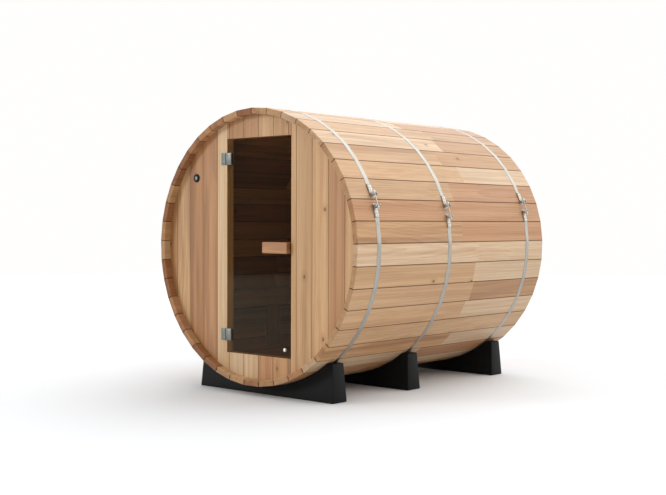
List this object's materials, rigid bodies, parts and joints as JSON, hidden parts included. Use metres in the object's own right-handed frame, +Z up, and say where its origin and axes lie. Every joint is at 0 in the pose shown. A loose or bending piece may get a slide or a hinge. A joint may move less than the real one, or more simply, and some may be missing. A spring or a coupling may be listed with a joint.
{
  "type": "barrel sauna",
  "caption": "Cedar barrel sauna of flat staves held by three steel bands on three black cradles, with a bronze glass door in its front wall and benches inside.",
  "frame": {"origin": "on the ground under the middle of the barrel, halfway along the staves", "axes": "+Z up, +Y from the door end to the rear end, +X to the right as seen from the door end"},
  "size_m": [1.8471, 2.134, 1.8965],
  "materials": {
    "stave_cedar": "planed western red cedar, clear satin oil",
    "wall_cedar": "planed tongue and groove cedar boards",
    "casing_cedar": "planed cedar",
    "handle_cedar": "sanded cedar with eased edges",
    "bench_cedar": "sanded cedar slats",
    "door_glass": "bronze tinted tempered glass",
    "hinge_steel": "brushed stainless steel",
    "band_steel": "rolled stainless steel strip",
    "tensioner_steel": "zinc plated and stainless hardware",
    "cradle_plastic": "moulded black polyethylene, fine matt texture",
    "port_plastic": "moulded black plastic"
  },
  "bodies": {
    "shell": {"staves_floor": "stave_cedar", "staves_lower_left": "stave_cedar", "staves_lower_right": "stave_cedar", "staves_left": "stave_cedar", "staves_right": "stave_cedar", "staves_upper_left": "stave_cedar", "staves_upper_right": "stave_cedar", "staves_roof_left": "stave_cedar", "staves_roof_right": "stave_cedar", "front_wall_left": "wall_cedar", "front_wall_right": "wall_cedar", "front_wall_head": "wall_cedar", "front_wall_sill": "wall_cedar", "rear_wall": "wall_cedar", "door_casing_left": "casing_cedar", "door_casing_right": "casing_cedar", "door_casing_head": "casing_cedar", "door_casing_sill": "casing_cedar", "hinge_upper_wall": "hinge_steel", "hinge_lower_wall": "hinge_steel", "band_front": "band_steel", "band_middle": "band_steel", "band_rear": "band_steel", "tensioner_front": "tensioner_steel", "tensioner_middle": "tensioner_steel", "tensioner_rear": "tensioner_steel", "cradle_front": "cradle_plastic", "cradle_middle": "cradle_plastic", "cradle_rear": "cradle_plastic", "port_cap": "port_plastic", "bench_left_seat": "bench_cedar", "bench_left_fascia": "bench_cedar", "bench_left_posts": "bench_cedar", "bench_left_bearers": "bench_cedar", "bench_right_seat": "bench_cedar", "bench_right_fascia": "bench_cedar", "bench_right_posts": "bench_cedar", "bench_right_bearers": "bench_cedar"},
    "door": {"door_glass": "door_glass", "door_handle_outer": "handle_cedar", "door_handle_inner": "handle_cedar", "door_catch": "hinge_steel", "hinge_upper_door": "hinge_steel", "hinge_lower_door": "hinge_steel"}
  },
  "joints": [
    {"name": "door_swing", "type": "hinge", "parent": "shell", "child": "door", "pos_m": [-0.301, -1.0185, 0.985], "axis": [0, 0, -1], "range_deg": [0, 110]}
  ]
}
